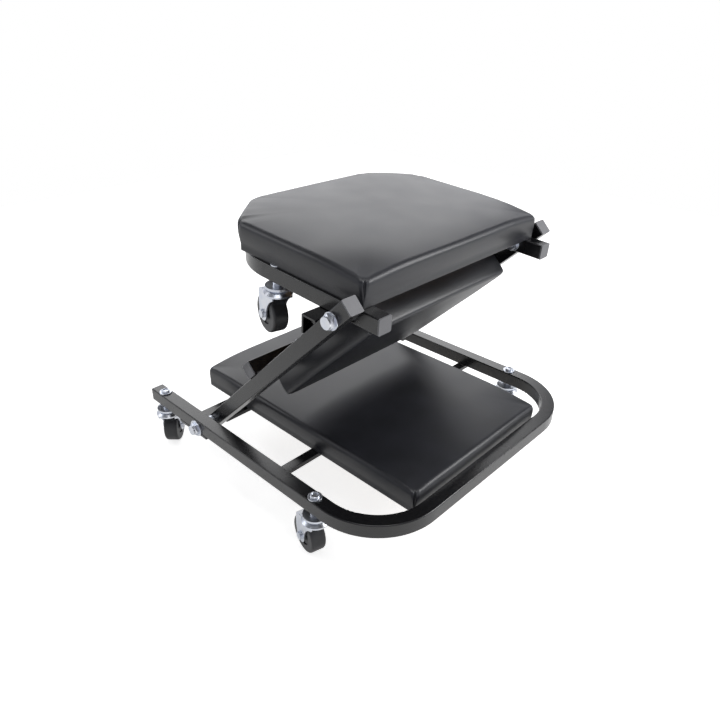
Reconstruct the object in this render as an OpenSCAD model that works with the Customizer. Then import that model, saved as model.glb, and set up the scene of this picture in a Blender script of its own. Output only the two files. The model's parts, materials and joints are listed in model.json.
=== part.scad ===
// Folding creeper seat, standing as a stool: a base on four casters, two slanted
// links with a pad between them, and a padded top frame with two casters of its own.
// X runs along the seat, its front (the bent end of the base) at +X. Y runs across.
// The floor is at Z = 0 and the origin is under the middle of the base.

/* [Square tube] */
// Outside width of the square tube of all three frames
tube = 19; // [16:1:25]
// Wall thickness of the tube
wall = 1.5; // [1:0.5:2]
// Radius on the long edges of the tube
edge_r = 1.5; // [1:0.5:3]
// Radius of the frame bends, measured to the outside of the tube
bend_r = 93; // [70:1:110]

/* [Base] */
// Width of the base over its rails
base_w = 436; // [400:1:480]
// Length of the base from its open end to the outside of the front bend
base_l = 459; // [420:1:520]
// Distance of the rear casters from the open end
rear_caster_x = 21.5; // [18:0.5:40]
// Distance of the front casters from the open end
front_caster_x = 346; // [320:1:360]
// Distance of the front cross bar from the open end, to its middle
cross_x = 262.5; // [220:0.5:300]

/* [Hinges] */
// Distance of the lower hinge from the open end of the base
pivot_x = 113.5; // [100:0.5:130]
// Distance of the lower hinge below the top of the base rails
pivot_drop = 13.5; // [9.5:0.5:14]
// Distance between the lower and the upper hinge
link_l = 343; // [320:1:360]
// Slope of the links when the seat stands
link_angle = 44.5; // [43:0.5:46]
// Length of link below the lower hinge
link_tail = 31; // [29:1:34]
// Length of link above the upper hinge
link_head = 27.5; // [24:0.5:30]
// Gap between base rail and link
link_gap = 8; // [6:1:10]
// Gap between link and top rail
top_gap = 6; // [5:1:8]
// Diameter of the hinge bolts
bolt_d = 8; // [8:1:8]

/* [Top frame] */
// Distance from the upper hinge back to the outside of the bend
top_back = 234; // [220:1:260]
// Distance from the upper hinge to the open end of the top rails
top_front = 40; // [36:1:44]
// Downward slope of the top towards its open end
seat_tilt = 3.5; // [2:0.5:5]
// Distance of the top casters behind the upper hinge
top_caster_x = 124; // [115:1:135]

/* [Pads] */
// Thickness of the plywood boards
board_t = 9; // [6:1:12]
// Foam height on the base and link pads
foam_t = 25; // [18:1:28]
// Foam height on the top pad
top_foam_t = 27; // [20:1:30]
// Gap from each link in to the side of the base and link pads
pad_gap = 37.5; // [32:0.5:47]
// Gap from each link in to the side of the top pad
top_pad_gap = 7; // [6:0.5:22]
// Distance of the base pad from the open end
base_pad_x = 25; // [20:1:40]
// Gap between the front of the base pad and the base frame
base_pad_gap = 4; // [3:0.5:35]
// Distance of the link pad from the lower hinge
link_pad_x = 109; // [100:1:115]
// Distance of the link pad from the upper hinge
link_pad_end = 24; // [22:1:44]
// Overhang of the top pad behind its frame
top_pad_over = 7.5; // [0:0.5:9.5]
// Distance from the upper hinge to the front edge of the top pad
top_pad_front = 18.5; // [15:0.5:19]
// Length of the cut corners of the top pad, along the seat
corner_x = 56; // [40:1:70]
// Length of the cut corners of the top pad, across the seat
corner_y = 66; // [50:1:80]

/* [Casters] */
// Height of a caster from the floor to the rail
caster_h = 73; // [70:1:76]
// Wheel diameter
wheel_d = 50; // [48:1:50]
// Wheel width
wheel_w = 20; // [16:1:22]
// Distance of the axle behind the swivel
trail = 16; // [12:1:18]

/* [Hidden] */

// Shared thicknesses, clearances and the depth by which cuts run past a face
over = 1;
fit = 0.05;
seat_gap = 0.1;
steel_t = 2.5;
hole_fit = 0.1;

// Heights of the base rails
rail_low = caster_h;
rail_mid = caster_h + tube / 2;
rail_top = caster_h + tube;
cap_t = 2;
// The rear wheel on the near side reaches past the open end; the origin is in the middle
rear_turn = -46;
rear_reach = (trail + wheel_d / 2) * cos(rear_turn) - wheel_w / 2 * sin(rear_turn) - rear_caster_x;
back_x = (rear_reach - base_l) / 2;

// Half widths of rails and links, outside and middle
base_half = base_w / 2;
base_mid_y = base_half - tube / 2;
link_half = base_half - tube - link_gap;
link_mid_y = link_half - tube / 2;
link_in = link_half - tube;
top_half = link_in - top_gap;
top_mid_y = top_half - tube / 2;
top_in = top_half - tube;

// The pads fill the room that the links and frames leave them
pad_w = 2 * (link_in - pad_gap);
top_pad_w = 2 * (link_in - top_pad_gap);
base_pad_l = base_l - tube - base_pad_gap - base_pad_x;
link_pad_l = link_l - link_pad_x - link_pad_end;
top_pad_l = top_pad_front + top_back + top_pad_over;

// Hinge centres
pivot = [back_x + pivot_x, 0, rail_top - pivot_drop];
head_pivot = pivot + link_l * [cos(link_angle), 0, sin(link_angle)];

// Casters: place on the frame, and the turn of each fork as it stands
rear_caster = back_x + rear_caster_x;
front_caster = back_x + front_caster_x;
caster_y = [-base_mid_y, base_mid_y, -base_mid_y, base_mid_y, -top_mid_y, top_mid_y];
caster_x = [rear_caster, rear_caster, front_caster, front_caster,
    -top_caster_x, -top_caster_x];
caster_turn = [rear_turn, 150, -14, 35, -14, -40];

// Black steel, zinc, plastic, rubber, vinyl and wood as seen
black = "#26262a";
zinc = "#b9bec6";
grey = "#86868a";
rubber = "#1c1c1e";
vinyl = "#3a3a3e";
wood = "#4a4038";

// Frames of reference: the base, the links and the top
module on_base() translate([back_x, 0, rail_mid]) children();
module on_link() translate(pivot) rotate([0, -link_angle, 0]) children();
module on_top() translate(head_pivot) rotate([0, seat_tilt, 0]) children();
module both_sides() {
    children();
    mirror([0, 1, 0]) children();
}

// A bar along Y, centred on Y = 0
module across(width) translate([0, width / 2, 0]) rotate([90, 0, 0]) linear_extrude(width)
    children();

// Cross-section of the tube, with round long edges
module tube_outline() {
    flat = tube - 2 * edge_r;
    square([flat, tube], center = true);
    square([tube, flat], center = true);
    for (x = [-flat / 2, flat / 2], y = [-flat / 2, flat / 2]) translate([x, y])
        circle(r = edge_r, $fn = 32);
}
module tube_section() difference() {
    tube_outline();
    square(tube - 2 * wall, center = true);
}

// Straight piece of tube along X from x0 to x1
module tube_x(x0, x1) translate([x0, 0, 0]) rotate([90, 0, 90]) linear_extrude(x1 - x0)
    tube_section();

// U-shaped frame with its open ends at X = 0 and its bend at X = length
module u_frame(half, length) {
    straight = length - bend_r;
    both_sides() translate([0, half - tube / 2, 0]) tube_x(0, straight);
    both_sides() translate([straight, half - bend_r, 0]) rotate_extrude(angle = 90, $fn = 96)
        translate([bend_r - tube / 2, 0]) tube_section();
    translate([length - tube / 2, 0, 0]) across(2 * (half - bend_r)) tube_section();
}

// Hole along Z and along Y
module hole_z(x, y, d) translate([x, y, -tube]) cylinder(d = d, h = 2 * tube, $fn = 32);
module hole_y(x, z, d, width) translate([x, width / 2, z]) rotate([90, 0, 0])
    cylinder(d = d, h = width, $fn = 32);

// Casters
stem_d = 8;
flange_r = 15.5;
race_r = 13.5;
neck_r = 6.5;
neck_t = 6;
race_z = -11.5;
king_r = 5;
crown_z = -11.7;
crown_t = 2;
crown_r = 14;
rim_r = 17.5;
rim_drop = 3;
king_foot_r = 7;
king_foot_z = -15.6;
axle_z = wheel_d / 2 - caster_h;
axle_r = 3;
leg_room = 1;
leg_in = wheel_w / 2 + leg_room;
leg_t = 2;
boss_r = 9;
hub_face = 1.5;
hub_recess_r = 14;
hub_boss_r = 6.5;
shoulder = 3;
washer_t = 1.6;
stem_washer_r = 8.8;
stem_nut_r = 6;
stem_nut_t = 2.6;
stem_sunk = 1.2;
stem_top = tube + washer_t + stem_nut_t - stem_sunk;

// Hinge bolts: washer, head, bush and nut
washer_r = 12;
small_washer_r = 10;
inner_washer_r = 9;
head_r = 9.2;
head_t = 5;
disc_r = 7;
disc_t = 2.2;
nut_r = 7.6;
nut_t = 8;
bush_r = 8;
bore = bolt_d + 2 * fit;

// Where the base hinge bolts start and end across the seat
base_bolt_out = base_half + washer_t;
base_bolt_in = link_in - washer_t - seat_gap;
top_bolt_out = link_half + washer_t;
top_bolt_in = top_in - washer_t - seat_gap;

// Base hinge channel: under the rails, slotted where the link tails swing
channel_drop = pivot_drop - tube / 2;
channel_top = rail_low - channel_drop;
channel_from = 70;
channel_w = 43;
channel_x0 = back_x + channel_from;
channel_x1 = channel_x0 + channel_w;
channel_leg = 9;
channel_lip = 3;
spacer_l = 64.5;
slot_room = 4;
slot_in = link_in - slot_room;
slot_out = link_half + slot_room;
// The slot ends where the upper face of the tail meets the lower edge of the web
web_low = channel_top - steel_t;
tail_s = (web_low - pivot[2] - tube / 2 * cos(link_angle)) / sin(link_angle);
slot_x0 = pivot[0] + tail_s * cos(link_angle) - tube / 2 * sin(link_angle) - seat_gap;
slot_x1 = channel_x1 + over;

module base_frame() color(black) difference() {
    on_base() u_frame(base_half, base_l);
    both_sides() translate([0, base_mid_y, 0]) {
        for (x = [rear_caster, front_caster]) translate([x, 0, rail_mid])
            hole_z(0, 0, stem_d + 2 * hole_fit);
        hole_y(pivot[0], pivot[2], bolt_d + 2 * hole_fit, 2 * tube);
    }
}

// Front cross bar, flat steel welded under the side rails
cross_w = 14.5;
cross_t = 6;
module base_cross_tube() color(black) difference() {
    translate([back_x + cross_x - cross_w / 2, -base_mid_y, rail_low - cross_t])
        cube([cross_w, 2 * base_mid_y, cross_t]);
    base_screw_holes();
}

// Rear cross member: a shallow channel, web up, on packing plates under the rails
module base_hinge_channel() color(black) difference() {
    across(2 * base_mid_y) polygon([[channel_x0, web_low - channel_leg],
        [channel_x0 + steel_t, web_low - channel_leg], [channel_x0 + steel_t, web_low],
        [channel_x1 - steel_t, web_low], [channel_x1 - steel_t, web_low - channel_lip],
        [channel_x1, web_low - channel_lip], [channel_x1, channel_top],
        [channel_x0, channel_top]]);
    both_sides() translate([slot_x0, slot_in, web_low - channel_lip - over])
        cube([slot_x1 - slot_x0, slot_out - slot_in, channel_lip + steel_t + 2 * over]);
    base_screw_holes();
}
module base_spacer_plates() color(black) both_sides()
    translate([channel_x0, base_half - tube, channel_top])
        cube([spacer_l, tube, channel_drop]);

plug = 8;
plug_w = tube - 2 * wall - 2 * fit;
// End cap of a tube: a plate on the end and a plug inside, facing -X
module tube_cap() {
    translate([-cap_t, 0, 0]) rotate([90, 0, 90]) linear_extrude(cap_t) tube_outline();
    translate([-over, -plug_w / 2, -plug_w / 2]) cube([plug + over, plug_w, plug_w]);
}
module base_tube_caps() color(grey) on_base() both_sides() translate([0, base_mid_y, 0])
    tube_cap();

// Pads: a plywood board with a padded, rounded cushion on it
corner_r = 7;
roll_r = 5.5;
crown = 2;
board_inset = 3;
arc_steps = 6;

// Points of one level of a cushion: the outline pulled in by inset, at height z. Each
// corner is an arc round its own centre, from the side before it to the side after it
function side_angle(a, b) = atan2(b[1] - a[1], b[0] - a[0]) - 90;
function turn(a, b) = b < a ? b + 360 : b;
function corner_centre(points, i, r) = let (
    n = len(points), here = points[i],
    a0 = side_angle(points[(i + n - 1) % n], here), a1 = side_angle(here, points[(i + 1) % n]),
    middle = (a0 + turn(a0, a1)) / 2, half = (turn(a0, a1) - a0) / 2)
    here - r / cos(half) * [cos(middle), sin(middle)];
function ring(points, inset, z) = let (n = len(points)) [for (i = [0:n - 1])
    let (a0 = side_angle(points[(i + n - 1) % n], points[i]),
        a1 = turn(a0, side_angle(points[i], points[(i + 1) % n])),
        centre = corner_centre(points, i, corner_r))
    for (k = [0:arc_steps]) let (a = a0 + (a1 - a0) * k / arc_steps)
        [centre[0] + (corner_r - inset) * cos(a), centre[1] + (corner_r - inset) * sin(a), z]];
function shrink(level, middle, share, z) = [for (p = level)
    [middle[0] + (p[0] - middle[0]) * share, middle[1] + (p[1] - middle[1]) * share, z]];

// Levels of a cushion as shares of its side height: drawn in at the foot, full in the
// middle, then rolled over to the crown
foot_shares = [[0, 0.45], [0.12, 0.2], [0.35, 0.05], [0.6, 0]];
roll_angles = [15, 35, 55, 72, 90];
crown_shares = [0.9, 0.7, 0.45, 0.2];
foot_in = 4;
module cushion_form(points, height) {
    middle = [for (k = [0, 1]) (min([for (p = points) p[k]]) + max([for (p = points) p[k]])) / 2];
    side_h = height - crown - roll_r;
    edge = ring(points, roll_r, height - crown);
    levels = concat(
        [for (s = foot_shares) ring(points, foot_in * s[1], side_h * s[0])],
        [for (a = roll_angles) ring(points, roll_r * (1 - cos(a)), side_h + roll_r * sin(a))],
        [for (s = crown_shares) shrink(edge, middle, s, height - crown * s * s)]);
    n = len(levels[0]);
    top = len(levels) - 1;
    corners = [for (level = levels) each level];
    polyhedron(corners, concat(
        [[for (i = [0:n - 1]) i]],
        [for (level = [0:top - 1], i = [0:n - 1]) [level * n + (i + 1) % n, level * n + i,
            (level + 1) * n + i, (level + 1) * n + (i + 1) % n]],
        [[for (i = [n - 1:-1:0]) top * n + i]]), convexity = 4);
}

// Rectangle and cut-corner outlines, turning anticlockwise
function box_points(x0, x1, width) =
    [[x0, -width / 2], [x1, -width / 2], [x1, width / 2], [x0, width / 2]];
function cut_points(x0, x1, width) = [
    [x0, -width / 2 + corner_y], [x0 + corner_x, -width / 2], [x1, -width / 2],
    [x1, width / 2], [x0 + corner_x, width / 2], [x0, width / 2 - corner_y]];
base_points = box_points(back_x + base_pad_x, back_x + base_pad_x + base_pad_l, pad_w);
link_points = box_points(link_pad_x, link_pad_x + link_pad_l, pad_w);
top_points = cut_points(top_pad_front - top_pad_l, top_pad_front, top_pad_w);

// Board outline: the pad outline pulled in all round, with plain corners
module board_form(points) linear_extrude(board_t) polygon([for (i = [0:len(points) - 1])
    corner_centre(points, i, board_inset)]);

screw_d = 5;
screw_head_r = 5;
screw_head_t = 2.5;
screw_bite = 6;
screw_inset = 32;
screw_y = pad_w / 2 - screw_inset;
base_screw_x = [(channel_x0 + channel_x1) / 2, back_x + cross_x];
// A pad screw driven along +Z, with its head under Z = 0 and grip of metal above
module pad_screw(grip) {
    translate([0, 0, -screw_head_t]) cylinder(r = screw_head_r, h = screw_head_t, $fn = 32);
    translate([0, 0, -fit]) cylinder(d = screw_d, h = grip + screw_bite + fit, $fn = 32);
}
module base_screw_holes() for (x = base_screw_x, y = [-screw_y, screw_y])
    translate([x, y, rail_low - 2 * tube])
        cylinder(d = screw_d + 2 * hole_fit, h = 3 * tube, $fn = 32);
module board_holes(places) for (p = places) translate([p[0], p[1], -over])
    cylinder(d = screw_d, h = screw_bite + over, $fn = 32);

// Blocks that pack the base board up from the channel to the level of the cross bar
block = 24;
module base_pad_blocks() color(black) difference() {
    for (y = [-screw_y, screw_y])
        translate([base_screw_x[0] - block / 2, y - block / 2, channel_top])
            cube([block, block, channel_drop]);
    base_screw_holes();
}
base_places = [for (x = base_screw_x, y = [-screw_y, screw_y]) [x, y]];
module base_board() color(wood) translate([0, 0, rail_low]) difference() {
    board_form(base_points);
    board_holes(base_places);
}
module base_cushion() color(vinyl) translate([0, 0, rail_low + board_t])
    cushion_form(base_points, foam_t);
module base_pad_screws() color(zinc) for (y = [-screw_y, screw_y]) {
    translate([base_screw_x[0], y, web_low]) pad_screw(steel_t + channel_drop);
    translate([base_screw_x[1], y, rail_low - cross_t]) pad_screw(cross_t);
}

// Hinge hardware. Each bolt runs inwards from its washer
module hinge_bolt(outer, inner) {
    translate([0, outer, 0]) rotate([-90, 0, 0]) {
        intersection() {
            cylinder(r = head_r, h = head_t, $fn = 6);
            cylinder(r1 = head_r + head_t - disc_t, r2 = head_r - disc_t, h = head_t, $fn = 48);
        }
        translate([0, 0, head_t - over]) cylinder(r = disc_r, h = disc_t + over, $fn = 48);
    }
    translate([0, outer + fit, 0]) rotate([90, 0, 0])
        cylinder(d = bolt_d, h = outer - inner + nut_t + fit, $fn = 32);
}
module ring_y(outer, inner, radius) translate([0, outer, 0]) rotate([90, 0, 0])
difference() {
    cylinder(r = radius, h = outer - inner, $fn = 48);
    translate([0, 0, -over]) cylinder(d = bore, h = outer - inner + 2 * over, $fn = 32);
}
module hinge_nut(outer) translate([0, outer, 0]) rotate([90, 0, 0]) difference() {
    cylinder(r = nut_r, h = nut_t - over, $fn = 6);
    translate([0, 0, -over]) cylinder(d = bore, h = nut_t + over, $fn = 32);
}
module base_hinge_bolts() color(zinc) both_sides() translate(pivot)
    hinge_bolt(base_bolt_out, base_bolt_in);
module base_hinge_washers() color(zinc) both_sides() translate(pivot) {
    ring_y(base_bolt_out, base_half, washer_r);
    ring_y(link_in - seat_gap, base_bolt_in, inner_washer_r);
}
module base_hinge_bushes() color(zinc) both_sides() translate(pivot)
    ring_y(base_half - tube, link_half + seat_gap, bush_r);
module base_hinge_nuts() color(zinc) both_sides() translate(pivot) hinge_nut(base_bolt_in);

// Fixed part of a caster: threaded stem, neck, race and kingpin foot
module caster_head() rotate_extrude($fn = 64) polygon([
    [0, king_foot_z], [king_foot_r, king_foot_z], [king_foot_r, crown_z - crown_t - seat_gap],
    [king_r, crown_z - crown_t - seat_gap], [king_r, race_z], [race_r, race_z],
    [flange_r, (race_z - neck_t) / 2], [flange_r, -neck_t], [neck_r, -neck_t], [neck_r, 0],
    [stem_d / 2, 0], [stem_d / 2, stem_top],
    [0, stem_top]]);
module caster_washer() translate([0, 0, tube]) difference() {
    cylinder(r = stem_washer_r, h = washer_t, $fn = 48);
    translate([0, 0, -over]) cylinder(d = stem_d + 2 * fit, h = washer_t + 2 * over, $fn = 32);
}
// Round nut on the stem, rounded over at its rim, the stem end sunk in its middle
nut_roll = 1.2;
module caster_nut() translate([0, 0, tube + washer_t]) rotate_extrude($fn = 48) polygon([
    [stem_d / 2 + fit, 0], [stem_nut_r, 0], [stem_nut_r, stem_nut_t - nut_roll],
    [stem_nut_r - nut_roll * (1 - cos(45)), stem_nut_t - nut_roll * (1 - sin(45))],
    [stem_nut_r - nut_roll, stem_nut_t], [stem_d / 2 + fit, stem_nut_t]]);

// Moves its children to caster number i, turned as the fork stands
module at_caster(i) if (i < 4) translate([caster_x[i], caster_y[i], rail_low]) children();
    else on_top() translate([caster_x[i], caster_y[i], -tube / 2]) children();
module base_caster_heads() color(zinc) for (i = [0:3]) at_caster(i) caster_head();
module base_caster_washers() color(zinc) for (i = [0:3]) at_caster(i) caster_washer();
module base_caster_nuts() color(zinc) for (i = [0:3]) at_caster(i) caster_nut();
module top_caster_heads() color(zinc) for (i = [4:5]) at_caster(i) caster_head();
module top_caster_washers() color(zinc) for (i = [4:5]) at_caster(i) caster_washer();
module top_caster_nuts() color(zinc) for (i = [4:5]) at_caster(i) caster_nut();

// Swivel fork: a domed crown with a sloping back and two side plates, each cut away in
// an arc at the front
crown_low = crown_z - crown_t;
plate_front = 11.5;
plate_back = [-26, -18];
plate_hip = [-27, -36];
arch_r = 30;
waist_x = boss_r - trail;
back_start = [-10.5, -14];
module side_plate() {
    difference() {
        polygon([[plate_front, crown_low], back_start, plate_back, plate_hip,
            [-trail - boss_r, axle_z], [plate_front, axle_z]]);
        translate([waist_x + arch_r, axle_z]) circle(r = arch_r, $fn = 144);
    }
    translate([-trail, axle_z]) circle(r = boss_r, $fn = 48);
}
module fork_shape() difference() {
    union() {
        rotate_extrude($fn = 64) polygon([
            [king_r + fit, crown_z], [crown_r, crown_z], [rim_r, crown_z - rim_drop],
            [rim_r, crown_z - rim_drop - crown_t], [crown_r, crown_z - crown_t],
            [king_r + fit, crown_z - crown_t]]);
        across(2 * (leg_in + leg_t)) polygon([back_start, plate_back,
            plate_back - [0, crown_t], back_start - [0, crown_t]]);
        both_sides() translate([0, leg_in + leg_t, 0]) rotate([90, 0, 0]) linear_extrude(leg_t)
            side_plate();
    }
    hole_y(-trail, axle_z, 2 * axle_r + 2 * fit, 4 * leg_in);
}
axle_head_r = 5.2;
axle_head_t = 3;
axle_end = leg_in + leg_t;
module axle_shape() translate([-trail, 0, axle_z]) {
    across(2 * axle_end + 2 * fit) circle(r = axle_r, $fn = 32);
    both_sides() translate([0, axle_end + axle_head_t, 0]) rotate([90, 0, 0])
        cylinder(r = axle_head_r, h = axle_head_t, $fn = 32);
}

// Wheel: a round-shouldered tread with a recessed hub face on each side
module wheel_shape() translate([-trail, 0, axle_z]) rotate([90, 0, 0]) rotate_extrude($fn = 72) {
    half = wheel_w / 2;
    r = wheel_d / 2;
    bore_r = axle_r + fit;
    boss_half = leg_in - seat_gap * 2;
    difference() {
        union() {
            translate([bore_r, -half]) square([r - shoulder - bore_r, wheel_w]);
            translate([bore_r, -half + shoulder]) square([r - bore_r, wheel_w - 2 * shoulder]);
            for (y = [-half + shoulder, half - shoulder]) translate([r - shoulder, y])
                circle(r = shoulder, $fn = 32);
        }
        for (y = [-half - over, half - hub_face]) translate([hub_boss_r, y])
            square([hub_recess_r - hub_boss_r, hub_face + over]);
    }
    translate([bore_r, -boss_half]) square([hub_boss_r - bore_r, 2 * boss_half]);
}
module fork(i) color(zinc) at_caster(i) rotate([0, 0, caster_turn[i]]) fork_shape();
module axle(i) color(zinc) at_caster(i) rotate([0, 0, caster_turn[i]]) axle_shape();
module wheel(i) color(rubber) at_caster(i) rotate([0, 0, caster_turn[i]]) wheel_shape();

// Links: straight tubes from below the lower hinge to above the upper one
module link_tube() difference() {
    tube_x(-link_tail, link_l + link_head);
    for (x = [0, link_l]) hole_y(x, 0, bore, 2 * tube);
}
module link_near() color(black) on_link() translate([0, -link_mid_y, 0]) link_tube();
module link_far() color(black) on_link() translate([0, link_mid_y, 0]) link_tube();
module link_caps() color(grey) on_link() both_sides() translate([0, link_mid_y, 0]) {
    translate([-link_tail, 0, 0]) tube_cap();
    translate([link_l + link_head, 0, 0]) mirror([1, 0, 0]) tube_cap();
}

// Cross tube on the backs of the links, and a strap between them higher up
link_cross_x = 155;
strap_back = 81;
strap_x = link_l - strap_back;
strap_w = 30;
strap_t = 3;
strap_tab = 14;
module link_screw_holes() for (x = [link_cross_x, strap_x], y = [-screw_y, screw_y])
    translate([x, y, -tube]) cylinder(d = screw_d + 2 * hole_fit, h = 4 * tube, $fn = 32);
module link_cross_tube() color(black) on_link() difference() {
    translate([link_cross_x, 0, tube]) across(2 * link_half) tube_section();
    link_screw_holes();
}
module link_strap() color(black) on_link() difference() {
    translate([strap_x - strap_w / 2, 0, tube / 2]) {
        translate([0, -link_in, 0]) cube([strap_w, 2 * link_in, strap_t]);
        both_sides() translate([0, link_in - strap_t, -strap_tab])
            cube([strap_w, strap_t, strap_tab + strap_t]);
    }
    link_screw_holes();
}
link_places = [for (x = [link_cross_x, strap_x], y = [-screw_y, screw_y]) [x, y]];
module on_link_pad() on_link() translate([0, 0, tube / 2]) mirror([0, 0, 1]) children();
module link_board() color(wood) on_link_pad() difference() {
    board_form(link_points);
    board_holes(link_places);
}
module link_cushion() color(vinyl) on_link_pad() translate([0, 0, board_t])
    cushion_form(link_points, foam_t);
module link_pad_screws() color(zinc) on_link_pad() for (y = [-screw_y, screw_y]) {
    translate([link_cross_x, y, -tube]) pad_screw(tube);
    translate([strap_x, y, -strap_t]) pad_screw(strap_t);
}
module top_hinge_bolts() color(zinc) both_sides() translate(head_pivot)
    rotate([0, -link_angle, 0]) hinge_bolt(top_bolt_out, top_bolt_in);
module top_hinge_washers() color(zinc) both_sides() translate(head_pivot) {
    ring_y(top_bolt_out, link_half, small_washer_r);
    ring_y(top_in - seat_gap, top_bolt_in, inner_washer_r);
}
module top_hinge_bushes() color(zinc) both_sides() translate(head_pivot)
    ring_y(link_in, top_half + seat_gap, bush_r);
module top_hinge_nuts() color(zinc) both_sides() translate(head_pivot)
    rotate([0, -link_angle, 0]) hinge_nut(top_bolt_in);

// Top frame, bend at the back
module top_frame() color(black) on_top() difference() {
    translate([top_front, 0, 0]) mirror([1, 0, 0]) u_frame(top_half, top_front + top_back);
    both_sides() translate([0, top_mid_y, 0]) {
        hole_z(-top_caster_x, 0, stem_d + 2 * hole_fit);
        hole_y(0, 0, bore, 2 * tube);
    }
    top_screw_holes();
}

// Stop: an angle under the top rails whose two edges rest on the backs of the links
stop_angle = link_angle + seat_tilt;
stop_leg = 21;
// Distance back from the hinge at which the front edge of the angle meets the link
stop_x1 = -(tube / 2 + seat_gap + (tube / 2 + steel_t) * cos(stop_angle)) / sin(stop_angle);
stop_x0 = stop_x1 - stop_leg;
// The hanging leg reaches down to the link
stop_drop = (-(stop_x0 + steel_t) * sin(stop_angle) - tube / 2 - seat_gap) / cos(stop_angle)
    - tube / 2;
module top_stop_angle() color(black) on_top() {
    translate([stop_x0, -link_half, -tube / 2 - steel_t]) cube([stop_leg, 2 * link_half, steel_t]);
    translate([stop_x0, -link_half, -tube / 2 - stop_drop])
        cube([steel_t, 2 * link_half, stop_drop]);
}

// Cross tube between the top rails, and the pad that lies on the rails
top_cross_x = -129;
module top_cross_tube() color(black) on_top() difference() {
    translate([top_cross_x, 0, 0]) across(2 * top_in) tube_section();
    top_screw_holes();
}
module top_tube_caps() color(grey) on_top() both_sides() translate([top_front, top_mid_y, 0])
    mirror([1, 0, 0]) tube_cap();
top_screw_x = -75;
cross_screw_y = 90;
top_places = [[top_screw_x, -top_mid_y], [top_screw_x, top_mid_y],
    [top_cross_x, -cross_screw_y], [top_cross_x, cross_screw_y]];
module top_screw_holes() for (p = top_places) hole_z(p[0], p[1], screw_d + 2 * hole_fit);
module top_board() color(wood) on_top() translate([0, 0, tube / 2]) difference() {
    board_form(top_points);
    board_holes(top_places);
    for (y = [-top_mid_y, top_mid_y]) translate([-top_caster_x, y, -over])
        cylinder(r = stem_washer_r + over, h = board_t + 2 * over, $fn = 48);
}
module top_cushion() color(vinyl) on_top() translate([0, 0, tube / 2 + board_t])
    cushion_form(top_points, top_foam_t);
module top_pad_screws() color(zinc) on_top() for (p = top_places)
    translate([p[0], p[1], -tube / 2]) pad_screw(tube);

base_frame();
base_cross_tube();
base_hinge_channel();
base_spacer_plates();
base_tube_caps();
base_pad_blocks();
base_board();
base_cushion();
base_pad_screws();
base_hinge_bolts();
base_hinge_washers();
base_hinge_bushes();
base_hinge_nuts();
base_caster_heads();
base_caster_washers();
base_caster_nuts();
link_near();
link_far();
link_caps();
link_cross_tube();
link_strap();
link_board();
link_cushion();
link_pad_screws();
top_hinge_bolts();
top_hinge_washers();
top_hinge_bushes();
top_hinge_nuts();
top_frame();
top_stop_angle();
top_cross_tube();
top_tube_caps();
top_board();
top_cushion();
top_pad_screws();
top_caster_heads();
top_caster_washers();
top_caster_nuts();
fork(0);  // fork_1
fork(1);  // fork_2
fork(2);  // fork_3
fork(3);  // fork_4
fork(4);  // fork_5
fork(5);  // fork_6
axle(0);  // axle_1
axle(1);  // axle_2
axle(2);  // axle_3
axle(3);  // axle_4
axle(4);  // axle_5
axle(5);  // axle_6
wheel(0);  // wheel_1
wheel(1);  // wheel_2
wheel(2);  // wheel_3
wheel(3);  // wheel_4
wheel(4);  // wheel_5
wheel(5);  // wheel_6
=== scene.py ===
import json
import math

import bpy
from mathutils import Matrix, Vector, noise


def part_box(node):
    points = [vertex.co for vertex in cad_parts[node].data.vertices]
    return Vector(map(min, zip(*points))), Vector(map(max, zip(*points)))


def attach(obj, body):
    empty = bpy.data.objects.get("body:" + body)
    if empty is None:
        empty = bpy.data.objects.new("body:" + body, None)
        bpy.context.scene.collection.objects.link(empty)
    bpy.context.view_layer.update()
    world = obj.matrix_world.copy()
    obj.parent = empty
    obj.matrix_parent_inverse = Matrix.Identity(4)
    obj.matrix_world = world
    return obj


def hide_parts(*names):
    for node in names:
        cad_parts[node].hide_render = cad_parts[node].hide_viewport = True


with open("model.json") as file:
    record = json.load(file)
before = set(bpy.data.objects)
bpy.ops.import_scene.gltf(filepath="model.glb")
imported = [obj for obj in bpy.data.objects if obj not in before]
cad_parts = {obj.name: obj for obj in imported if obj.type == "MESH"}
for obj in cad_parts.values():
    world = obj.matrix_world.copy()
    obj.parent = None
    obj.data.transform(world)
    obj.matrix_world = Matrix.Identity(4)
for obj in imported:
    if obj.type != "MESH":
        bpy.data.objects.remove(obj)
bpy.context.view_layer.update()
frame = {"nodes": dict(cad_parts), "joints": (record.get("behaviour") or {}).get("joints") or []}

# Square steel tube: the base frame, both links and the top frame are 19 mm tube with a
# 1.5 mm wall, bent cold and welded. The whole weldment is powder coated in semi-gloss
# black, which leaves a fine orange peel and a gloss that drifts a little.

MM = 0.001


def colour(text):
    """A colour as written in sRGB, turned to linear."""
    parts = [int(text[i:i + 2], 16) / 255 for i in (1, 3, 5)]
    return [p / 12.92 if p <= 0.04045 else ((p + 0.055) / 1.055) ** 2.4 for p in parts] + [1.0]


def add(material, kind, links=None, **settings):
    """Adds a node: links fill its inputs, with values or other nodes' outputs."""
    made = material.node_tree.nodes.new("ShaderNode" + kind)
    for name, value in settings.items():
        setattr(made, name, value)
    for name, value in (links or {}).items():
        if isinstance(value, bpy.types.NodeSocket):
            material.node_tree.links.new(value, made.inputs[name])
        else:
            made.inputs[name].default_value = value
    return made


def new_material(name):
    material = bpy.data.materials.new(name)
    material.use_nodes = True
    material.node_tree.nodes.clear()
    return material


def per_metre(millimetres):
    """Scale of a pattern whose features are this far apart."""
    return 1000 / millimetres


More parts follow.
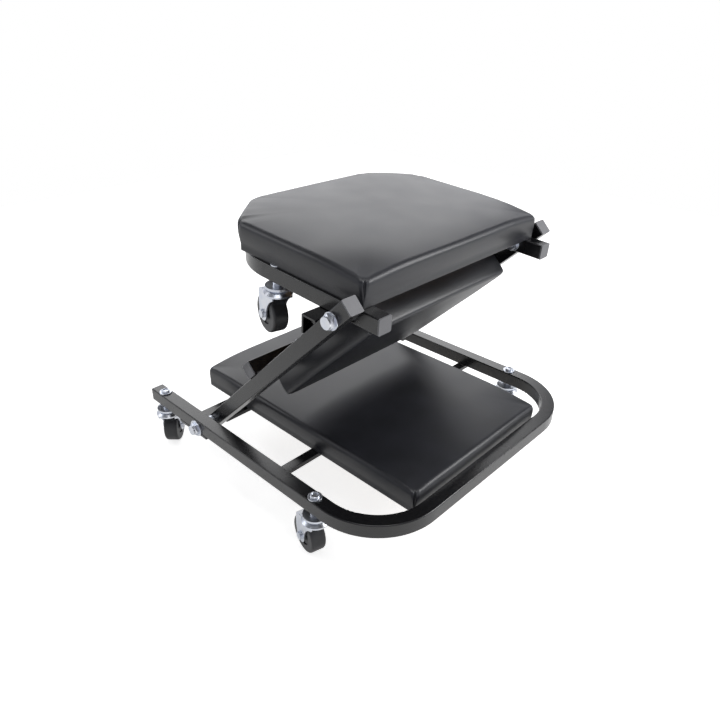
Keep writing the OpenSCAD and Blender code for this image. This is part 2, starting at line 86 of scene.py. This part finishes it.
def powder_coated_steel():
    m = new_material("powder_coated_steel")
    place = add(m, "TexCoord").outputs["Object"]
    peel = add(m, "TexNoise", {"Vector": place, "Scale": per_metre(1.8), "Detail": 2.0})
    drift = add(m, "TexNoise", {"Vector": place, "Scale": per_metre(55), "Detail": 3.0})
    shade = add(m, "ValToRGB", {"Fac": drift.outputs["Fac"]})
    dark, light = shade.color_ramp.elements
    dark.position, light.position = 0.35, 0.7
    dark.color, light.color = colour("#0d0d0f"), colour("#131315")
    gloss = add(m, "MapRange", {"Value": drift.outputs["Fac"], "To Min": 0.22, "To Max": 0.32})
    bump = add(m, "Bump", {"Height": peel.outputs["Fac"], "Strength": 0.22,
                           "Distance": 0.00008})
    coat = add(m, "BsdfPrincipled", {
        "Base Color": shade.outputs["Color"], "Roughness": gloss.outputs["Result"],
        "Normal": bump.outputs["Normal"], "IOR": 1.5, "Coat Weight": 0.3,
        "Coat Roughness": 0.2, "Coat IOR": 1.5})
    add(m, "OutputMaterial", {"Surface": coat.outputs["BSDF"]})
    return m


def dress(names, material, edge=0.0):
    """Gives CAD nodes their finish, with their sharp edges broken by the given radius."""
    for name in names:
        node = frame["nodes"][name]
        node.data.materials.clear()
        node.data.materials.append(material)
        if edge:
            node.data.shade_smooth()
            weld = node.modifiers.new("weld", "WELD")
            weld.merge_threshold = 0.00001
            bevel = node.modifiers.new("edges", "BEVEL")
            bevel.width = edge * MM
            bevel.segments = 2
            bevel.limit_method = "ANGLE"
            bevel.angle_limit = math.radians(35)
            flat = node.modifiers.new("flats", "WEIGHTED_NORMAL")
            flat.weight = 100


black_coat = powder_coated_steel()
dress(["base_frame", "link_near", "link_far", "link_cross_tube", "top_frame",
       "top_cross_tube"], black_coat)
dress(["base_cross_tube", "base_hinge_channel", "base_spacer_plates", "base_pad_blocks",
       "link_strap", "top_stop_angle"], black_coat, edge=0.4)

# End caps: moulded polyethylene plugs pushed into the open tube ends. They are dark grey
# with a fine moulded grain, and a little lighter than the coat beside them.


def moulded_polyethylene():
    m = new_material("moulded_polyethylene")
    place = add(m, "TexCoord").outputs["Object"]
    # The mould's grain is nearer 0.3 mm, and is drawn coarser so that it shows
    grain = add(m, "TexNoise", {"Vector": place, "Scale": per_metre(0.7), "Detail": 3.0})
    bump = add(m, "Bump", {"Height": grain.outputs["Fac"], "Strength": 0.35,
                           "Distance": 0.0001})
    tone = add(m, "ValToRGB", {"Fac": grain.outputs["Fac"]})
    dark, light = tone.color_ramp.elements
    dark.color, light.color = colour("#6a6a6d"), colour("#7c7c7f")
    cap = add(m, "BsdfPrincipled", {
        "Base Color": tone.outputs["Color"], "Roughness": 0.5,
        "Normal": bump.outputs["Normal"], "IOR": 1.51})
    add(m, "OutputMaterial", {"Surface": cap.outputs["BSDF"]})
    return m


cap_plastic = moulded_polyethylene()
dress(["base_tube_caps", "link_caps", "top_tube_caps"], cap_plastic, edge=0.6)

# Zinc plate: bolts, washers, nuts, bushes, screws and the caster metalwork are mild steel,
# plated bright. It mirrors the studio softly, with a faint blue tint that drifts in cloudy
# patches and a gloss that is broken up finely by knocks in the plating barrel.


def zinc_plated_steel():
    m = new_material("zinc_plated_steel")
    place = add(m, "TexCoord").outputs["Object"]
    cloud = add(m, "TexNoise", {"Vector": place, "Scale": per_metre(12), "Detail": 2.0})
    tint = add(m, "ValToRGB", {"Fac": cloud.outputs["Fac"]})
    blue, white = tint.color_ramp.elements
    blue.position, white.position = 0.3, 0.7
    blue.color, white.color = colour("#cdd3de"), colour("#dfe1e6")
    knocks = add(m, "TexNoise", {"Vector": place, "Scale": per_metre(2.5), "Detail": 4.0})
    gloss = add(m, "MapRange", {"Value": knocks.outputs["Fac"], "To Min": 0.26,
                                "To Max": 0.4})
    bump = add(m, "Bump", {"Height": knocks.outputs["Fac"], "Strength": 0.06,
                           "Distance": 0.00005})
    plate = add(m, "BsdfPrincipled", {
        "Base Color": tint.outputs["Color"], "Metallic": 1.0,
        "Roughness": gloss.outputs["Result"], "Normal": bump.outputs["Normal"]})
    add(m, "OutputMaterial", {"Surface": plate.outputs["BSDF"]})
    return m


zinc = zinc_plated_steel()
CASTERS = range(1, 7)
dress(["base_caster_heads", "base_caster_washers", "base_caster_nuts", "top_caster_heads",
       "top_caster_washers", "top_caster_nuts", "base_hinge_bolts", "base_hinge_washers",
       "base_hinge_bushes", "base_hinge_nuts", "top_hinge_bolts", "top_hinge_washers",
       "top_hinge_bushes", "top_hinge_nuts", "base_pad_screws", "link_pad_screws",
       "top_pad_screws"] + [f"axle_{i}" for i in CASTERS], zinc, edge=0.25)
dress([f"fork_{i}" for i in CASTERS], zinc, edge=0.5)

# Wheels: 2 inch wheels moulded in black nylon, a little greyer than the coat. The mould
# leaves a fine, uneven grain that is duller and paler on its high points.


def moulded_nylon():
    m = new_material("moulded_nylon")
    place = add(m, "TexCoord").outputs["Object"]
    # The mould's grain is nearer 0.3 mm, and is drawn coarser so that it shows
    grain = add(m, "TexNoise", {"Vector": place, "Scale": per_metre(1.2), "Detail": 4.0})
    gloss = add(m, "MapRange", {"Value": grain.outputs["Fac"], "To Min": 0.34, "To Max": 0.5})
    tone = add(m, "ValToRGB", {"Fac": grain.outputs["Fac"]})
    dark, light = tone.color_ramp.elements
    dark.color, light.color = colour("#29292b"), colour("#343436")
    bump = add(m, "Bump", {"Height": grain.outputs["Fac"], "Strength": 0.2,
                           "Distance": 0.00008})
    wheel = add(m, "BsdfPrincipled", {
        "Base Color": tone.outputs["Color"], "Roughness": gloss.outputs["Result"],
        "Normal": bump.outputs["Normal"], "IOR": 1.53})
    add(m, "OutputMaterial", {"Surface": wheel.outputs["BSDF"]})
    return m


dress([f"wheel_{i}" for i in CASTERS], moulded_nylon())

# Pads: foam on a 9 mm plywood board, covered in black PVC leathercloth that is pulled over
# the edges, folded at the corners and stapled under the board. The tight cover leaves a
# low crown, a soft roll along the edges and a tuck down each corner.


def leathercloth():
    m = new_material("pvc_leathercloth")
    place = add(m, "TexCoord").outputs["Object"]
    # Cells of the embossed grain, about a millimetre across as on the real cloth
    cells = add(m, "TexVoronoi", {"Vector": place, "Scale": per_metre(1.1),
                                  "Randomness": 1.0}, feature="SMOOTH_F1")
    creep = add(m, "TexNoise", {"Vector": place, "Scale": per_metre(45), "Detail": 3.0})
    tone = add(m, "ValToRGB", {"Fac": creep.outputs["Fac"]})
    dark, light = tone.color_ramp.elements
    dark.position, light.position = 0.3, 0.75
    dark.color, light.color = colour("#1b1c20"), colour("#25262c")
    gloss = add(m, "MapRange", {"Value": creep.outputs["Fac"], "To Min": 0.36,
                                "To Max": 0.46})
    bump = add(m, "Bump", {"Height": cells.outputs["Distance"], "Strength": 0.3,
                           "Distance": 0.00012})
    skin = add(m, "BsdfPrincipled", {
        "Base Color": tone.outputs["Color"], "Roughness": gloss.outputs["Result"],
        "Normal": bump.outputs["Normal"], "IOR": 1.53})
    add(m, "OutputMaterial", {"Surface": skin.outputs["BSDF"]})
    return m


def mesh_piece(name, corners, faces, material, smooth=True):
    data = bpy.data.meshes.new(name)
    data.from_pydata(corners, [], faces)
    data.materials.append(material)
    data.validate()
    if smooth:
        data.shade_smooth()
    made = bpy.data.objects.new(name, data)
    bpy.context.scene.collection.objects.link(made)
    return made


def skin_rings(loops):
    """Faces between rings of the same number of corners, each given by its indices."""
    count = len(loops[0])
    return [[a[i], a[(i + 1) % count], b[(i + 1) % count], b[i]]
            for a, b in zip(loops, loops[1:]) for i in range(count)]


def rounded_ring(points, inset, radius, per_corner, per_edge, blunt=0.0):
    """Points of an outline pulled in by inset, with round corners, rounder by blunt where
    they are wider than square, and for each its distance along the ring from the nearest
    corner's middle."""
    count = len(points)
    normals = []
    for i in range(count):
        along = (points[(i + 1) % count] - points[i]).normalized()
        normals.append(Vector((along.y, -along.x)))
    arcs = []
    for i in range(count):
        before, after = normals[i - 1], normals[i]
        middle = (before + after).normalized()
        start = math.atan2(before.y, before.x)
        turn = before.angle(after)
        round_r = radius + (blunt if turn < math.radians(80) else 0.0)
        centre = points[i] - middle * (inset + round_r) / middle.dot(after)
        arcs.append([(centre + round_r * Vector((math.cos(start + turn * k / per_corner),
                                                 math.sin(start + turn * k / per_corner))),
                      abs(k / per_corner - 0.5) * turn * round_r)
                     for k in range(per_corner + 1)])
    ring = []
    for i in range(count):
        ring += arcs[i]
        here, there = arcs[i][-1], arcs[(i + 1) % count][0]
        length = (there[0] - here[0]).length
        for k in range(1, per_edge):
            # Points lie closer together towards the corners
            part = 0.5 - 0.5 * math.cos(math.pi * k / per_edge)
            ring.append((here[0].lerp(there[0], part),
                         here[1] + length * min(part, 1 - part)))
    return ring


# The cover, in millimetres
COVER_T = 0.5
MARGIN = 24                # turned in under the board
HELD_IN, HELD_TO = 2.2, 8  # how far it is held in along the board, and up to what height
UNDER_R = 1.2              # its bend round the board's lower edge
BOARD_CORNER, PAD_CORNER = 1.5, 6.5
BLUNT = 16                 # what a corner wider than square has more in radius
PULL_REACH = 42            # how far a square corner's pull on the cover is felt
FOLD_REACH = 14            # how far its folds run in over the crown
# Width and depth of what gathers at a corner: a sharp seam in a shallow tuck, which is
# less deep on top, with small folds beside it
SEAM_W, SEAM_D = 1.2, 2.4
TUCK_W, TUCK_D, TUCK_TOP_D = 6.5, 0.8, 0.6
FOLD_W, FOLD_D, FOLD_TURN = 11, 0.2, 1.7
# The last slack of a tight cover: length and height of its long waves and its ripples
WAVE_L, WAVE_OUT, WAVE_UP = 38, 0.3, 0.25
RIPPLE_L, RIPPLE_H = 15, 0.15
ARC_POINTS, EDGE_POINTS = 16, 28


def pad_cover(name, points, material, height, roll, crown, bulge, drop):
    """A covered pad standing on z = 0, in millimetres: the margin folded under the board,
    the side held in by the board's edge and bulging above it, the rolled edge and the
    crown. The cover is pulled down and tucked at each square corner."""
    points = [Vector(p) for p in points]
    low = Vector([min(p[k] for p in points) for k in (0, 1)])
    half = (Vector([max(p[k] for p in points) for k in (0, 1)]) - low) / 2
    centre = low + half
    square = [p for p in points if abs(abs(p.x - centre.x) - half.x) < 0.1
              and abs(abs(p.y - centre.y) - half.y) < 0.1]
    rim = height - crown
    side = rim - roll
    turned_up = UNDER_R - COVER_T
    # Each row: how far inside the outline, how high, and its share of the way out
    rows = [(inset, z, 1) for inset, z in (
        (MARGIN, 0.3), (MARGIN, -COVER_T), (MARGIN - 1, -COVER_T), (14, -COVER_T),
        (7, -COVER_T), (HELD_IN + UNDER_R, -COVER_T))]
    rows += [(HELD_IN + UNDER_R * (1 - math.sin(a)), turned_up - UNDER_R * math.cos(a), 1)
             for a in (math.radians(d) for d in (25, 50, 75))]
    rows += [(HELD_IN, z, 1) for z in (turned_up, 3, 5.5, HELD_TO)]
    rows += [(HELD_IN, HELD_TO + (side - HELD_TO) * t, 1)
             for t in (0.15, 0.3, 0.45, 0.6, 0.75, 0.9)]
    rows += [(HELD_IN + roll * (1 - math.cos(a)), side + roll * math.sin(a), 1)
             for a in (math.radians(d) for d in (0, 12, 24, 36, 48, 60, 70, 80, 90))]
    rows += [(HELD_IN + roll, rim, share)
             for share in (0.99, 0.97, 0.94, 0.9, 0.84, 0.76, 0.66, 0.54, 0.4, 0.26, 0.12)]

    def corner_pull(p):
        return sum(math.exp(-((p - q).length / PULL_REACH) ** 2) for q in square)

    def dome(p):
        u, v = ((p[k] - centre[k]) / half[k] for k in (0, 1))
        return (1 - min(1.0, u ** 4)) * (1 - min(1.0, v ** 4))

    def wave(p, z):
        return noise.noise(Vector((p.x, p.y, z)) / WAVE_L)

    corners, loops = [], []
    for inset, z, share in rows:
        rise = min(1.0, max(0.0, (z - HELD_TO) / (side - HELD_TO)))
        below = min(1.0, max(0.0, (rim - z) / (0.6 * roll)))
        radius = BOARD_CORNER + rise * (PAD_CORNER - BOARD_CORNER
                                        + 0.4 * min(inset - HELD_IN, roll))
        loop = []
        for p, s in rounded_ring(points, inset, radius, ARC_POINTS, EDGE_POINTS,
                                 BLUNT * rise):
            outward = (p - centre).normalized()
            near = rise * math.exp(-(1 - share) * (p - centre).length / FOLD_REACH)
            seam = math.exp(-(s / SEAM_W) ** 2)
            tuck = math.exp(-(s / TUCK_W) ** 2)
            fold = math.cos(s * FOLD_TURN) * math.exp(-(s / FOLD_W) ** 2)
            ripple = noise.noise(Vector((p.x * 2.2, p.y * 2.2, z * 0.7)) / RIPPLE_L)
            held = 1 - 0.5 * min(1.0, corner_pull(p))
            swell = bulge * held * math.sin(math.pi / 2 * rise)
            swell += near * (WAVE_OUT * wave(p, z) + RIPPLE_H * ripple
                             - below * (SEAM_D * seam + TUCK_D * tuck) - FOLD_D * fold)
            p = centre + (p + outward * swell - centre) * share
            top = z + rise * (crown * dome(p) - drop * corner_pull(p) + WAVE_UP * wave(p, z))
            top -= near * (1 - below) * (TUCK_TOP_D * tuck - RIPPLE_H * ripple)
            loop.append(len(corners))
            corners.append((p.x * MM, p.y * MM, top * MM))
        loops.append(loop)
    middle = len(corners)
    corners.append((centre.x * MM, centre.y * MM, height * MM))
    last = loops[-1]
    faces = [loops[0][::-1]] + skin_rings(loops)
    faces += [[last[i], last[(i + 1) % len(last)], middle] for i in range(len(last))]
    return mesh_piece(name, corners, faces, material)


def box_outline(x0, x1, width):
    return [(x0, -width / 2), (x1, -width / 2), (x1, width / 2), (x0, width / 2)]


def seat_outline(x0, x1, width, cut_x, cut_y):
    """A box whose two corners at x0 are cut off."""
    return [(x0, -width / 2 + cut_y), (x0 + cut_x, -width / 2), (x1, -width / 2),
            (x1, width / 2), (x0 + cut_x, width / 2), (x0, width / 2 - cut_y)]


def hinge(name):
    """Where a hinge of the frame stands."""
    return next(Vector(j["pos_m"]) for j in frame["joints"] if j["name"] == name)


def ends(node, place, axis):
    """Where a CAD node begins and ends along an axis of a place, in millimetres."""
    seen = place.inverted()
    at = [(seen @ v.co)[axis] / MM for v in frame["nodes"][node].data.vertices]
    return min(at), max(at)


# The boards lie level with the underside of the rails, the backs of the leaning links,
# and the upper face of the top frame, which tips a little
TUBE, SEAT_TILT = 19, math.radians(3.5)
PIVOT, HEAD = hinge("lower_hinge"), hinge("upper_hinge")
LINK_ANGLE = math.atan2(HEAD.z - PIVOT.z, HEAD.x - PIVOT.x)
LINK_FRAME = Matrix.Translation(PIVOT) @ Matrix.Rotation(-LINK_ANGLE, 4, "Y")
TOP_FRAME = Matrix.Translation(HEAD) @ Matrix.Rotation(SEAT_TILT, 4, "Y")
TUBE_TOP = Matrix.Translation((0, 0, TUBE / 2 * MM))
ON_BASE = Matrix.Translation((0, 0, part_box("base_frame")[0].z))
ON_LINK = LINK_FRAME @ TUBE_TOP @ Matrix.Rotation(math.pi, 4, "X")
ON_TOP = TOP_FRAME @ TUBE_TOP
BASE_X0, BASE_X1 = ends("base_cushion", ON_BASE, 0)
LINK_X0, LINK_X1 = ends("link_cushion", ON_LINK, 0)
TOP_X0, TOP_X1 = ends("top_cushion", ON_TOP, 0)
PAD_W = 2 * ends("base_cushion", ON_BASE, 1)[1]
TOP_PAD_W = 2 * ends("top_cushion", ON_TOP, 1)[1]
BACK_OUT, LINK_UP = 5, 2  # how far covers stand past the foam at the back and upper end
vinyl = leathercloth()
for name, points, place, body, shape in (
        ("base", box_outline(BASE_X0 - BACK_OUT, BASE_X1, PAD_W), ON_BASE, "base",
         {"height": 38, "roll": 6, "crown": 3, "bulge": 4.8, "drop": 4}),
        ("link", box_outline(LINK_X0, LINK_X1 + LINK_UP, PAD_W), ON_LINK, "links",
         {"height": 39, "roll": 5, "crown": 2.5, "bulge": 5.8, "drop": 0}),
        ("top", seat_outline(TOP_X0, TOP_X1, TOP_PAD_W, cut_x=56, cut_y=66), ON_TOP, "top",
         {"height": 41.5, "roll": 6.5, "crown": 4.5, "bulge": 4.8, "drop": 5})):
    pad = pad_cover(name + "_pad_cover", points, vinyl, **shape)
    pad.matrix_world = place
    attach(pad, body)
    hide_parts(name + "_cushion")

# Boards: sawn birch plywood behind the foam, left bare, with a brown grain drawn out
# along the sheet. They are seen from below, inside the stapled margin of the cover.


def birch_plywood():
    m = new_material("birch_plywood")
    place = add(m, "TexCoord").outputs["Object"]
    stretch = add(m, "Mapping", {"Vector": place, "Scale": (1.0, 14.0, 14.0)})
    grain = add(m, "TexNoise", {"Vector": stretch.outputs["Vector"], "Scale": per_metre(30),
                                "Detail": 6.0, "Distortion": 0.6})
    tone = add(m, "ValToRGB", {"Fac": grain.outputs["Fac"]})
    dark, light = tone.color_ramp.elements
    dark.color, light.color = colour("#8a6f50"), colour("#b79b75")
    bump = add(m, "Bump", {"Height": grain.outputs["Fac"], "Strength": 0.3,
                           "Distance": 0.0001})
    wood = add(m, "BsdfPrincipled", {"Base Color": tone.outputs["Color"], "Roughness": 0.6,
                                     "Normal": bump.outputs["Normal"]})
    add(m, "OutputMaterial", {"Surface": wood.outputs["BSDF"]})
    return m


dress(["base_board", "link_board", "top_board"], birch_plywood())

# Staples: zinc wire staples hold the folded margin to each board, one row along every edge
# where no cross member lies under it. The flattened wire is wide at the board and narrower
# at its crown, with its ends bent in.
STAPLE_W, STAPLE_T, STAPLE_IN, STAPLE_STEP = 11.0, 0.7, 13.0, 32
WIRE_HALF = 0.65


def staple_rows(name, rows, place, body):
    """Rows run from one point to another, in millimetres, with staples a step apart."""
    corners, faces = [], []
    for a, b in rows:
        a, b = Vector(a), Vector(b)
        along = (b - a).normalized()
        across = Vector((-along.y, along.x))
        count = max(1, round((b - a).length / STAPLE_STEP))
        for k in range(count):
            middle = a.lerp(b, (k + 0.5) / count)
            first = len(corners)
            for half, drop, wide in ((STAPLE_W / 2, 0.2, 1.0), (STAPLE_W / 2, -0.4, 1.0),
                                     (STAPLE_W / 2 - 0.5, -STAPLE_T, 0.6)):
                for u, v in ((-1, -1), (1, -1), (1, 1), (-1, 1)):
                    q = middle + along * half * u + across * WIRE_HALF * wide * v
                    corners.append((q.x * MM, q.y * MM, (drop - COVER_T) * MM))
            faces.append([first + i for i in range(4)])
            for level in (0, 4):
                for i in range(4):
                    c, d = first + level + i, first + level + (i + 1) % 4
                    faces.append([c, c + 4, d + 4, d])
            faces.append([first + 8 + i for i in (3, 2, 1, 0)])
    made = mesh_piece(name, corners, faces, zinc, smooth=False)
    made.matrix_world = place
    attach(made, body)


CORNER_FREE = 14
side = PAD_W / 2 - STAPLE_IN
# The side rows, measured from the pad's first end, stop for what crosses under the board:
# channel and bar under the base pad, cross tube and strap behind the link pad
for name, place, body, x0, x1, runs in (
        ("base_staples", ON_BASE, "base", BASE_X0, BASE_X1, ((17, 41), (95, 225), (251, 393))),
        ("link_staples", ON_LINK, "links", LINK_X0, LINK_X1,
         ((15, 34), (59, 135), (171, 193)))):
    rows = [((x, CORNER_FREE - side), (x, side - CORNER_FREE))
            for x in (x0 + STAPLE_IN, x1 - STAPLE_IN)]
    rows += [((x0 + a, y), (x0 + b, y)) for a, b in runs for y in (-side, side)]
    staple_rows(name, rows, place, body)
# The top frame covers the sides of its board, so only the two ends are stapled in view
FRONT_HALF, BACK_HALF = 138, 84
staple_rows("top_staples", [((x, -half), (x, half)) for x, half in
                            ((TOP_X1 - STAPLE_IN, FRONT_HALF),
                             (TOP_X0 + STAPLE_IN, BACK_HALF))], ON_TOP, "top")

# Welds: short fillet beads of shielded-arc weld join the tubes, laid in overlapping
# ripples and coated with the frame. They run along both edges of each cross member.
BEAD_R, RIPPLE, BEAD_STEP, BEAD_SIDES = 1.9, 1.6, 0.4, 8


def weld_beads(name, runs, place, body):
    corners, faces = [], []
    for a, b in runs:
        a, b = Vector(a), Vector(b)
        along = (b - a).normalized()
        side = along.orthogonal().normalized()
        other = along.cross(side)
        length = (b - a).length
        count = max(6, round(length / BEAD_STEP))
        loops = []
        for k in range(count + 1):
            t = k / count
            end = min(1.0, 6 * min(t, 1 - t) + 0.25)
            swell = 1 + 0.14 * abs(math.sin(math.pi * t * length / RIPPLE))
            wander = 0.12 * noise.noise(Vector((t * length / 4, a.x, a.y)))
            radius = BEAD_R * end * (swell + wander)
            loops.append(range(len(corners), len(corners) + BEAD_SIDES))
            for i in range(BEAD_SIDES):
                turn = math.tau * i / BEAD_SIDES
                q = a.lerp(b, t) + (side * math.cos(turn) + other * math.sin(turn)) * radius
                corners.append(tuple(q * MM))
        faces += skin_rings(loops)
        faces += [list(loops[0])[::-1], list(loops[-1])]
    made = mesh_piece(name, corners, faces, black_coat)
    made.matrix_world = place
    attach(made, body)


# Faces of the rails, links and top frame, then the members that are welded to them
RAIL_IN = ends("base_frame", ON_BASE, 1)[1] - TUBE
LINK_IN, LINK_OUT = ends("link_far", LINK_FRAME, 1)
TOP_OUT = ends("top_frame", TOP_FRAME, 1)[1]
TOP_IN = TOP_OUT - TUBE
BAR = ends("base_cross_tube", ON_BASE, 0)
CHANNEL = ends("base_hinge_channel", ON_BASE, 0)
LINK_CROSS = ends("link_cross_tube", LINK_FRAME, 0)
STOP_ANGLE = ends("top_stop_angle", TOP_FRAME, 0)
TOP_CROSS = ends("top_cross_tube", TOP_FRAME, 0)
SHORT = 1.5  # how far a bead stops short of the ends of its corner
# A bead's middle lies just outside the corner that it fills
LEVEL = TUBE / 2 + 0.1
runs = [((x0, y, z), (x1, y, z)) for x0, x1, z in
        ((BAR[0] + 1.25, BAR[1] - 1.25, -0.2), (CHANNEL[0] + 1, CHANNEL[0] + 16, -4.2))
        for y in (-RAIL_IN, RAIL_IN)]
weld_beads("base_welds", runs, ON_BASE, "base")
runs = [((x, e * (LINK_IN + SHORT), LEVEL), (x, e * (LINK_OUT - SHORT), LEVEL))
        for x in (LINK_CROSS[0] - 0.2, LINK_CROSS[1] + 0.2) for e in (-1, 1)]
weld_beads("link_welds", runs, LINK_FRAME, "links")
runs = [((x, e * (TOP_IN + SHORT), -LEVEL), (x, e * (TOP_OUT - SHORT), -LEVEL))
        for x in STOP_ANGLE[::-1] for e in (-1, 1)]
runs += [((x, e * TOP_IN, -7.5), (x, e * TOP_IN, 7.5))
         for x in (TOP_CROSS[0] - 0.1, TOP_CROSS[1] + 0.1) for e in (-1, 1)]
weld_beads("top_welds", runs, TOP_FRAME, "top")

# Plugs: thin moulded discs, square like the tube, that are pushed into both ends of the
# cross tube on the links. They are of the same polyethylene as the end caps.
PLUG_T, PLUG_CORNER = 1.4, 1.5
PLUG_ROWS = ((1.6, -4.0), (1.6, 0.0), (0.1, 0.0), (0.0, 0.15), (0.0, PLUG_T - 0.5),
             (0.15, PLUG_T - 0.15), (0.5, PLUG_T), (2.4, PLUG_T), (2.8, PLUG_T - 0.3))


def end_plug(name, place, body):
    outline = [Vector(p) for p in box_outline(-TUBE / 2, TUBE / 2, TUBE)]
    loops, corners = [], []
    for inset, z in PLUG_ROWS:
        ring = rounded_ring(outline, inset, PLUG_CORNER, 4, 3)
        loops.append(range(len(corners), len(corners) + len(ring)))
        corners += [(q.x * MM, q.y * MM, z * MM) for q, _ in ring]
    faces = [list(loops[0])[::-1]] + skin_rings(loops) + [list(loops[-1])]
    made = mesh_piece(name, corners, faces, cap_plastic)
    made.matrix_world = place
    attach(made, body)


CROSS_MIDDLE = sum(LINK_CROSS) / 2
for name, e in (("near", -1), ("far", 1)):
    end_plug("link_cross_plug_" + name,
             LINK_FRAME @ Matrix.Translation((CROSS_MIDDLE * MM, e * LINK_OUT * MM, TUBE * MM))
             @ Matrix.Rotation(-e * math.pi / 2, 4, "X"), "links")

# Studio: a pale floor under four soft panels, the broadest behind the seat, one overhead
# and one on either side. The camera stands at the photograph's place.
FLOOR_HALF = 1.7
floor_paper = new_material("floor_paper")
path = add(floor_paper, "LightPath")
seen = add(floor_paper, "Math", {0: path.outputs["Is Camera Ray"],
                                 1: path.outputs["Is Transmission Ray"]}, operation="MAXIMUM")
mirrored = add(floor_paper, "Math", {0: path.outputs["Is Glossy Ray"], 1: 0.4},
               operation="MULTIPLY")
lift = add(floor_paper, "Math", {0: seen.outputs[0], 1: 0.8, 2: mirrored.outputs[0]},
           operation="MULTIPLY_ADD")
fibre = add(floor_paper, "TexNoise", {"Scale": per_metre(4), "Detail": 3.0})
paper_tone = add(floor_paper, "ValToRGB", {"Fac": fibre.outputs["Fac"]})
paper_tone.color_ramp.elements[0].color = colour("#e2e2e1")
paper_tone.color_ramp.elements[1].color = colour("#e8e8e7")
paper = add(floor_paper, "BsdfDiffuse", {"Color": paper_tone.outputs["Color"]})
glow = add(floor_paper, "Emission", {"Strength": lift.outputs[0]})
both = add(floor_paper, "AddShader", {0: paper.outputs[0], 1: glow.outputs[0]})
add(floor_paper, "OutputMaterial", {"Surface": both.outputs[0]})
floor = mesh_piece("floor", [(-FLOOR_HALF, -FLOOR_HALF, 0), (FLOOR_HALF, -FLOOR_HALF, 0),
                             (FLOOR_HALF, FLOOR_HALF, 0), (-FLOOR_HALF, FLOOR_HALF, 0)],
                   [(0, 1, 2, 3)], floor_paper)

world = bpy.data.worlds.new("studio")
bpy.context.scene.world = world
world.use_nodes = True
world.node_tree.nodes.clear()
path = add(world, "LightPath")
height = add(world, "SeparateXYZ", {"Vector": add(world, "TexCoord").outputs["Generated"]})
# The walls of the studio are pale up to about 16 degrees and dim from 37 degrees up
walls = add(world, "MapRange", {"Value": height.outputs["Z"], "From Min": 0.28,
                                "From Max": 0.6, "To Min": 0.72, "To Max": 0.14})
room = add(world, "Math", {0: walls.outputs["Result"], 1: 0.5}, operation="MULTIPLY")
shiny = add(world, "Mix", {"Factor": path.outputs["Is Glossy Ray"], 2: room.outputs[0],
                           3: walls.outputs["Result"]})
plain = add(world, "Math", {0: path.outputs["Is Camera Ray"],
                            1: path.outputs["Is Transmission Ray"]}, operation="MAXIMUM")
level = add(world, "Mix", {"Factor": plain.outputs[0], 2: shiny.outputs[0], 3: 1.0})
hue = add(world, "Mix", {"Factor": plain.outputs[0], 6: colour("#eff1fa"),
                         7: colour("#ffffff")}, data_type="RGBA")
sky = add(world, "Background", {"Color": hue.outputs[2], "Strength": level.outputs[0]})
add(world, "OutputWorld", {"Surface": sky.outputs["Background"]})


SEAT = Vector((0, 0, 0.2))


def panel(name, place, width, height, watts):
    """A soft panel that faces the seat."""
    data = bpy.data.lights.new(name, "AREA")
    data.shape = "RECTANGLE"
    data.size, data.size_y, data.energy = width, height, watts
    made = bpy.data.objects.new(name, data)
    made.location = place
    made.rotation_euler = (SEAT - Vector(place)).to_track_quat("-Z", "Y").to_euler()
    bpy.context.scene.collection.objects.link(made)


panel("panel_behind", (-1.6, 1.35, 1.25), width=2.4, height=1.2, watts=19)
panel("panel_above", (0.25, -0.2, 1.8), width=0.9, height=0.9, watts=9)
panel("panel_right", (1.2, 0.9, 1.1), width=0.8, height=0.8, watts=20)
panel("panel_left", (-1.3, -1.1, 1.2), width=0.8, height=0.8, watts=5)

# Place, direction and lens of the camera were fitted to points of the photograph
camera = bpy.data.objects.new("camera", bpy.data.cameras.new("camera"))
camera.data.sensor_width = 36
camera.data.lens = 31.711
yaw, pitch, roll = (math.radians(a) for a in (133.398, -29.336, 0.911))
look = Vector((math.cos(pitch) * math.cos(yaw), math.cos(pitch) * math.sin(yaw),
               math.sin(pitch)))
camera.location = (0.5504, -0.5868, 0.5964)
camera.rotation_mode = "QUATERNION"
camera.rotation_quaternion = (look.to_track_quat("-Z", "Y")
                              @ Matrix.Rotation(roll, 4, "Z").to_quaternion())
bpy.context.scene.collection.objects.link(camera)
bpy.context.scene.camera = camera
bpy.context.scene.view_settings.view_transform = "Standard"
